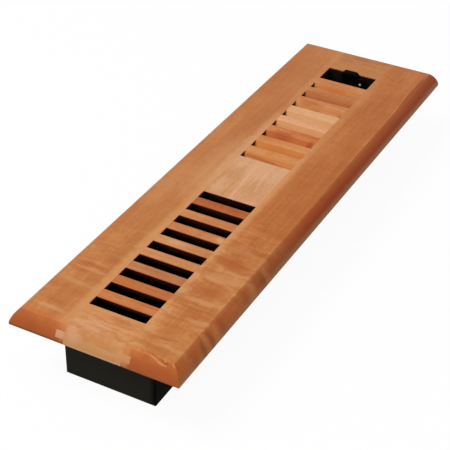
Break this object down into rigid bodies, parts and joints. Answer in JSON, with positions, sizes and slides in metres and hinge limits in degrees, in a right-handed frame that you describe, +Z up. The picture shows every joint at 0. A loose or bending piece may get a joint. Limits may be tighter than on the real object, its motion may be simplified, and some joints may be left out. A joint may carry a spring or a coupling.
{
  "type": "floor register",
  "caption": "Drop-in wooden louvered floor register with bevelled edges over a black damper box, whose thumb lever opens and closes two linked blades.",
  "frame": {"origin": "middle of the plate's underside, the plane that lies on the floor around the duct opening", "axes": "+X across the register, +Y along it towards the thumb lever's end, +Z up out of the floor"},
  "size_m": [0.0952, 0.3302, 0.043],
  "materials": {
    "stile_wood": "satin lacquered maple",
    "block_wood": "satin lacquered maple, paler",
    "slat_wood": "satin lacquered maple, mixed tones",
    "box_plastic": "satin black moulding",
    "blade_plastic": "satin black moulding",
    "lever_plastic": "satin black moulding",
    "steel": "plain zinc-plated steel"
  },
  "bodies": {
    "frame": {"left_stile": "stile_wood", "right_stile": "stile_wood", "near_end_block": "block_wood", "center_block": "block_wood", "far_end_block": "block_wood", "near_slat_1": "slat_wood", "near_slat_2": "slat_wood", "near_slat_3": "slat_wood", "near_slat_4": "slat_wood", "near_slat_5": "slat_wood", "near_slat_6": "slat_wood", "near_slat_7": "slat_wood", "near_slat_8": "slat_wood", "far_slat_1": "slat_wood", "far_slat_2": "slat_wood", "far_slat_3": "slat_wood", "far_slat_4": "slat_wood", "far_slat_5": "slat_wood", "far_slat_6": "slat_wood", "far_slat_7": "slat_wood", "far_slat_8": "slat_wood", "damper_box": "box_plastic", "box_screws": "steel"},
    "left_damper": {"left_blade": "blade_plastic"},
    "right_damper": {"right_blade": "blade_plastic"},
    "lever_link": {"control_link": "lever_plastic", "thumb_lever": "lever_plastic", "lever_rivets": "steel"}
  },
  "joints": [
    {"name": "left_blade_turn", "type": "hinge", "parent": "frame", "child": "left_damper", "pos_m": [-0.0121, 0, -0.01725], "axis": [0, 1, 0], "range_deg": [-45, 45]},
    {"name": "right_blade_turn", "type": "hinge", "parent": "frame", "child": "right_damper", "pos_m": [0.0121, 0, -0.01725], "axis": [0, 1, 0], "range_deg": [-45, 45]},
    {"name": "lever_link_pivot", "type": "hinge", "parent": "left_damper", "child": "lever_link", "pos_m": [-0.0121, 0.13558, -0.00825], "axis": [0, 1, 0], "range_deg": [-45, 45]}
  ],
  "couplings": [
    {"joint": "right_blade_turn", "follows": "left_blade_turn", "ratio": 1},
    {"joint": "lever_link_pivot", "follows": "left_blade_turn", "ratio": -1}
  ]
}
